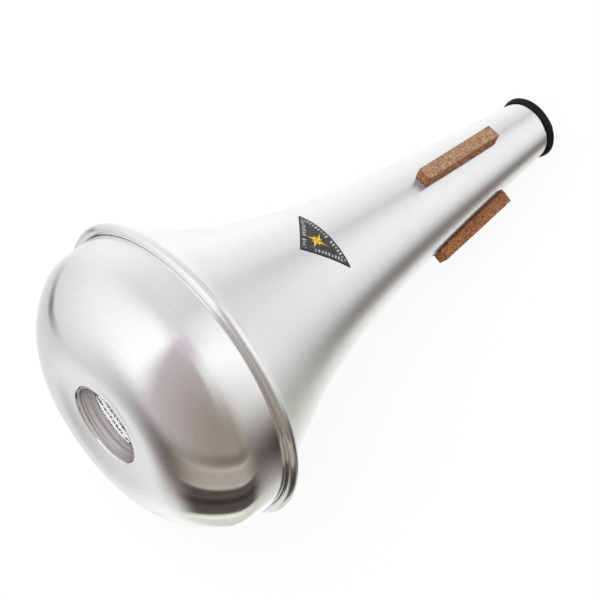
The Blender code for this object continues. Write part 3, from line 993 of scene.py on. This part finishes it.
# Charcoal print with a black edge, a row of plain bars of uneven length and a gold star whose arms
# are folded, light on one side of the fold. Star: |a|^power + |b|^power is below arm^power, once on
# long arms and once on short ones between them.
def badgeMaterial():
    p = badgePrint
    material, tree, shader = newMaterial("badgePrint", {"Specular IOR Level": 0.3})
    gap, x, y, cornerGap = (attribute(tree, n) for n in ("gap", "flatX", "flatY", "cornerGap"))
    place = objectPlace(tree)
    run = mathNode(tree, "DIVIDE", attribute(tree, "edgeRun"), p["tickPitch"])
    step = mathNode(tree, "FRACT", run)
    chance = addNode(
        tree, "TexWhiteNoise", {"W": mathNode(tree, "FLOOR", run)}, noise_dimensions="1D"
    ).outputs
    pick = addNode(tree, "SeparateColor", {0: chance["Color"]}).outputs
    across = product(tree, mathNode(tree, "SUBTRACT", step, 0.5), p["tickPitch"])
    across = mathNode(tree, "ABSOLUTE", across)
    ticks = smooth(tree, across, p["tickWidth"] + 0.06, p["tickWidth"] - 0.06)
    start = mathNode(tree, "MULTIPLY_ADD", pick[0], p["tickCut"] * 0.6, p["ticksFrom"])
    end = mathNode(tree, "MULTIPLY_ADD", pick[1], -p["tickCut"], p["ticksTo"])
    broken = noise(tree, place, 1500.0)
    ticks = product(
        tree, ticks,
        smooth(tree, mathNode(tree, "SUBTRACT", gap, start), 0.0, 0.12),
        smooth(tree, mathNode(tree, "SUBTRACT", end, gap), 0.0, 0.12),
        smooth(tree, cornerGap, 0.4, 0.8),
        mathNode(tree, "LESS_THAN", pick[2], p["blanks"]),
        smooth(tree, broken, 0.30, 0.50),
    )

    def petals(a, b, arm):
        power = p["starPower"]
        sides = [mathNode(tree, "POWER", mathNode(tree, "ABSOLUTE", v), power) for v in (a, b)]
        total = mathNode(tree, "ADD", *sides)
        return smooth(tree, total, arm**power + 0.05, arm**power - 0.05)

    def turned(angle):
        cosine, sine = math.cos(angle), math.sin(angle)
        a = mathNode(tree, "MULTIPLY_ADD", x, cosine, product(tree, y, sine))
        b = mathNode(tree, "MULTIPLY_ADD", y, cosine, product(tree, x, -sine))
        return a, b

    a, b = turned(p["starTurn"])
    c, d = turned(p["starTurn"] + math.pi / 4)
    star = mathNode(tree, "MAXIMUM", petals(a, b, p["starArm"]), petals(c, d, p["starArm"] * 0.66))
    halo = mathNode(tree, "MAXIMUM", petals(a, b, p["starArm"] + 1.1), petals(c, d, p["starArm"] * 0.84))
    # The fold runs along each arm, so light and dark change places eight times round the star
    fold = smooth(tree, product(tree, a, b, c, d), -0.3, 0.3)
    wearAndShade = useGroup(tree, handlingMarks, {"Vector": place, "Size": 0.004, "Amount": 0.7})["Mask"]
    ground = mixColour(tree, wearAndShade, p["ground"], p["groundWorn"])
    ground = mixColour(tree, smooth(tree, gap, p["edgeWidth"] + 0.1, p["edgeWidth"]), ground, p["edge"])
    line = mixColour(tree, smooth(tree, pick[1], 0.3, 0.7), p["line"], p["lineWarm"])
    colour = mixColour(tree, ticks, ground, line)
    colour = mixColour(tree, halo, colour, p["edge"])
    foil = mixColour(tree, fold, p["goldDark"], p["gold"])
    foil = mixColour(tree, smooth(tree, broken, 0.55, 0.75, 0.0, 0.6), foil, p["goldDark"])
    colour = mixColour(tree, star, colour, foil)
    rough = mathNode(tree, "MULTIPLY_ADD", wearAndShade, 0.15, 0.42)
    printed = mathNode(tree, "MAXIMUM", ticks, star)
    height = mathNode(tree, "MULTIPLY_ADD", noise(tree, place, 900.0, 3.0), 0.3, printed)
    setSurface(tree, shader, colour, rough, height, 0.00003, 0.7)
    return material


# Paper and ink. Lengths are in mm: the rows' distance, half a bar's height and the bare margin.
labelPrint = {
    "paper": (0.86, 0.86, 0.84, 1),
    "fibre": (0.80, 0.79, 0.77, 1),
    "ink": (0.06, 0.06, 0.065, 1),
    "inkShare": 0.9,
    "rowPitch": 2.5,
    "barHalf": 0.55,
    "margin": 1.5,
    "rough": 0.7,
}


# Off-white paper with a faint fibre and rows of plain broken bars.
def labelMaterial():
    p = labelPrint
    material, tree, shader = newMaterial("labelPaper", {})
    parts = surfaceShares(tree)
    place = objectPlace(tree)
    fibre = noise(tree, place, 700.0, 5.0, 1.5)
    sizes = (label["arc"] * 1000, label["height"] * 1000)
    edges = [
        product(tree, mathNode(tree, "PINGPONG", parts[i], 0.5), sizes[i]) for i in (0, 1)
    ]
    near = mathNode(tree, "MINIMUM", *edges)
    across = product(tree, parts[1], sizes[1])
    row = mathNode(tree, "PINGPONG", across, p["rowPitch"] / 2)
    ink = product(
        tree,
        smooth(tree, row, p["barHalf"] + 0.07, p["barHalf"] - 0.07),
        smooth(tree, near, p["margin"] - 0.1, p["margin"] + 0.1),
        smooth(tree, noise(tree, place, 800.0), 0.44, 0.50),
        p["inkShare"],
    )
    paper = mixColour(tree, smooth(tree, fibre, 0.3, 0.7), p["paper"], p["fibre"])
    colour = mixColour(tree, ink, paper, p["ink"])
    setSurface(tree, shader, colour, p["rough"], fibre, 0.00003, 0.5)
    return material


# Each piece with the node that it stands for, a slot name and its material: it gets the material, rides
# on the one body and stands for its node
corkFinish = corkMaterial()
standIns = [
    (bodyPiece, "body_shell", "body_aluminium", metalMaterial("bodyAluminium", bodyLoop)),
    (bowlPiece, "end_cap", "bowl_aluminium", metalMaterial("bowlAluminium", bowlLoop)),
    (collarPiece, "port_collar", "collar_aluminium", metalMaterial("collarAluminium", collarLoop)),
    (edgingPiece, "nose_trim", "edging", edgingMaterial()),
    (corkPieces[0], "cork_strip_1", "cork", corkFinish),
    (corkPieces[1], "cork_strip_2", "cork", corkFinish),
    (corkPieces[2], "cork_strip_3", "cork", corkFinish),
    (badgePiece, "badge", "badge_print", badgeMaterial()),
    (labelPiece, "inner_label", "label_paper", labelMaterial()),
]
print("materials made:", len(bpy.data.materials))
for piece, node, slot, finish in standIns:
    piece.data.materials.append(finish)
    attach(piece, "root")
    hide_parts(node)
print("pieces set on the frame:", len(standIns))

# Studio: a white tent, darker on the room side, as soft cards in the sky. Each card has its
# azimuth, half width, softness, elevation, half height, softness (degrees) and colour, and the
# strips of the room end with a slant, their rise for each degree of azimuth.
studio = {
    "white": (1.10, 1.10, 1.10, 1),
    "cards": {
        "ceiling": (-72, 145, 170, 85, 17, 26, (0.65, 0.61, 0.66)),
        "ceilingRight": (54, 65, 102, 76, 62, 89, (0.74, 0.74, 0.74)),
        "roomCorner": (-168, 31, 56, -24, 24, 38, (0.05, 0.03, 0.03)),
        "roomTop": (-150, 34, 18, 35, 41, 30, (0.56, 0.51, 0.53)),
        "roomWall": (-116, 47, 68, -16, 70, 77, (0.31, 0.28, 0.24)),
        "wallEnd": (-67, 25, 53, -19, 22, 44, (0.05, 0.04, 0.03)),
        "cornerPost": (-63, 9, 14, -37, 16, 18, (0.02, 0.02, 0.02)),
        "lowPale": (-125, 34, 90, -66, 13.5, 10, (0.72, 0.73, 0.64)),
        "sillShade": (-120, 26, 44, -5.5, 4, 8, (0.195, 0.165, 0.13), 0.07),
        "paleStrip": (-127, 30, 38, -22.5, 12, 2.5, (0.41, 0.37, 0.32), 0.07),
        "upperLine": (-127, 28, 36, -13, 1, 2, (0.53, 0.49, 0.42), 0.07),
        "lowerLine": (-129, 26, 34, -28, 1.2, 2, (0.50, 0.47, 0.41), 0.07),
        "lowDark": (-127, 39, 22, -44.5, 14.5, 3, (0.078, 0.072, 0.062), 0.06),
        "darkLine": (-127, 36, 30, -31.6, 1, 2, (0.060, 0.056, 0.048), 0.06),
        "faintLine": (-127, 30, 30, -36.5, 1, 3, (0.105, 0.10, 0.088), 0.10),
        "darkHeart": (-127, 36, 30, -42, 3, 5, (0.040, 0.036, 0.030), 0.06),
        "lowEdge": (-127, 38, 24, -63.5, 5, 3, (0.72, 0.73, 0.64)),
        "lowLine": (-140, 24, 34, -63.2, 1.5, 3, (0.97, 0.97, 0.91)),
        "darkPost": (-35, 11, 36, -29, 12, 20, (0.03, 0.00, 0.00)),
        "lowAhead": (2, 26, 67, -45, 14, 30, (0.16, 0.16, 0.00)),
        "ahead": (-11, 28, 13, -15, 12, 110, (0.58, 0.59, 0.60)),
        "mauveEdge": (18, 1, 50, 4, 44, 103, (0.33, 0.28, 0.34)),
        "right": (33, 4, 73, -3, 24, 15, (0.86, 0.85, 0.84)),
        "lowWhite": (22, 30, 24, -38, 19.5, 9, (1.06, 1.06, 1.05)),
        "back": (119, 43, 73, -39, 30, 110, (0.60, 0.59, 0.58)),
        "darkSpot": (115, 7, 50, -33, 3.4, 2.5, (0.03, 0.025, 0.035)),
    },
}


cardSizes = ["Middle", "Half Width", "Softness", "Height", "Half Height", "Height Softness", "Slant"]


# Mask = smoothstep across azimuth * smoothstep across elevation, both in degrees.
def softCardGroup():
    names = ["Azimuth", "Elevation", *cardSizes]
    tree, source, target = newGroup("softCard", [(n, 0.0) for n in names], [("Mask", 1)])
    turn = mathNode(tree, "SUBTRACT", source["Azimuth"], source["Middle"])
    turn = mathNode(tree, "FLOORED_MODULO", mathNode(tree, "ADD", turn, 180.0), 360.0)
    turn = mathNode(tree, "SUBTRACT", turn, 180.0)
    middle = mathNode(tree, "MULTIPLY_ADD", turn, source["Slant"], source["Height"])
    turn = mathNode(tree, "ABSOLUTE", turn)
    rise = mathNode(tree, "ABSOLUTE", mathNode(tree, "SUBTRACT", source["Elevation"], middle))
    sides = []
    for value, half, soft in (
        (turn, source["Half Width"], source["Softness"]),
        (rise, source["Half Height"], source["Height Softness"]),
    ):
        reach = mathNode(tree, "MULTIPLY_ADD", soft, 0.5, half)
        inner = mathNode(tree, "MULTIPLY_ADD", soft, -0.5, half)
        sides.append(smooth(tree, value, reach, inner))
    plug(tree, target, {"Mask": product(tree, *sides)})
    return tree


def makeStudio():
    world = bpy.data.worlds.new("studio")
    world.use_nodes = True
    bpy.context.scene.world = world
    tree = world.node_tree
    tree.nodes.clear()
    softCard = softCardGroup()
    direction = addNode(tree, "TexCoord").outputs["Generated"]
    x, y, z = addNode(tree, "SeparateXYZ", {0: direction}).outputs
    degrees = 180 / math.pi
    azimuth = product(tree, mathNode(tree, "ARCTAN2", y, x), degrees)
    elevation = product(tree, mathNode(tree, "ARCSINE", z), degrees)
    colour = studio["white"]
    for card in studio["cards"].values():
        sizes = dict(zip(cardSizes, map(float, card[:6] + card[7:])))
        values = {"Azimuth": azimuth, "Elevation": elevation, **sizes}
        mask = useGroup(tree, softCard, values)["Mask"]
        colour = mixColour(tree, mask, colour, (*card[6], 1))
    tent = addNode(tree, "Background", {"Color": colour, "Strength": 1.0})
    backdrop = addNode(tree, "Background", {"Color": (1, 1, 1, 1), "Strength": 1.0})
    camera = addNode(tree, "LightPath").outputs["Is Camera Ray"]
    mix = addNode(tree, "MixShader", {0: camera, 1: tent.outputs[0], 2: backdrop.outputs[0]})
    addNode(tree, "OutputWorld", {"Surface": mix.outputs[0]})


# A white floor that keeps the mute's shadow. Reflections show the tent, not the floor.
def makeFloor():
    side = np.linspace(-4.0, 4.0, 5)
    points = np.stack([*np.meshgrid(side, side, indexing="ij"), np.zeros((5, 5))], -1)
    first = (np.arange(4)[:, None] * 5 + np.arange(4)).reshape(-1)
    faces = np.stack([first, first + 5, first + 6, first + 1], 1)
    mesh = bpy.data.meshes.new("floor")
    mesh.from_pydata(points.reshape(-1, 3), [], faces)
    floor = addObject("floor", mesh)
    matt = {"Base Color": (0.86, 0.86, 0.86, 1), "Roughness": 0.9, "Specular IOR Level": 0.0}
    material, tree, shader = newMaterial("floorPaper", matt)
    glow = addNode(tree, "Emission", {"Color": (1, 1, 1, 1), "Strength": 1.0})
    camera = addNode(tree, "LightPath").outputs["Is Camera Ray"]
    amount = product(tree, camera, 0.9)
    mix = addNode(tree, "MixShader", {0: amount, 1: shader.outputs[0], 2: glow.outputs[0]})
    plug(tree, tree.nodes["Material Output"].inputs, {"Surface": mix.outputs[0]})
    floor.data.materials.append(material)
    floor.visible_glossy = False


# Lamps light what is matt and leave the metal to the tent. The last one shines in at the port.
# Each has its kind, the place where it stands, the place that it is aimed at, and its settings.
lamps = {
    "overhead": (
        "AREA", (-0.35, 0.45, 1.5), (0.0, 0.0, 0.0), {"energy": 11.0, "shape": "DISK", "size": 1.2},
    ),
    "besideCamera": (
        "AREA", (-0.55, -0.35, 0.95), (0.0, 0.0, 0.0), {"energy": 3.0, "shape": "DISK", "size": 0.5},
    ),
    "intoPort": (
        "SPOT", (-0.2225, -0.2195, 0.744), (-0.151, 0.0, 0.093),
        {"energy": 27.0, "spot_size": math.radians(3.6), "spot_blend": 0.25, "shadow_soft_size": 0.004},
    ),
}


def makeLamps():
    for name, (kind, at, target, settings) in lamps.items():
        light = bpy.data.lights.new(name, kind)
        for key, value in settings.items():
            setattr(light, key, value)
        lamp = addObject(name, light)
        lamp.location = at
        aim = np.array(target) - np.array(at)
        fall = math.atan2(math.hypot(aim[0], aim[1]), -aim[2])
        lamp.rotation_euler = Euler((fall, 0.0, math.atan2(-aim[0], aim[1])))
        lamp.visible_glossy = False


view = {
    "at": (-0.22228, -0.21882, 0.74105),
    "turn": (math.radians(23.0448), math.radians(0.0212), math.radians(-42.2695)),
    "lens": 83.962,
}


def makeCamera():
    data = bpy.data.cameras.new("photoView")
    data.lens = view["lens"]
    data.sensor_width = 36.0
    data.sensor_fit = "HORIZONTAL"
    data.clip_start = 0.01
    camera = addObject("photoView", data)
    camera.location = view["at"]
    camera.rotation_euler = view["turn"]
    bpy.context.scene.camera = camera


makeStudio()
makeFloor()
makeLamps()
makeCamera()
bpy.context.scene.view_settings.view_transform = "Standard"
print("studio lit")
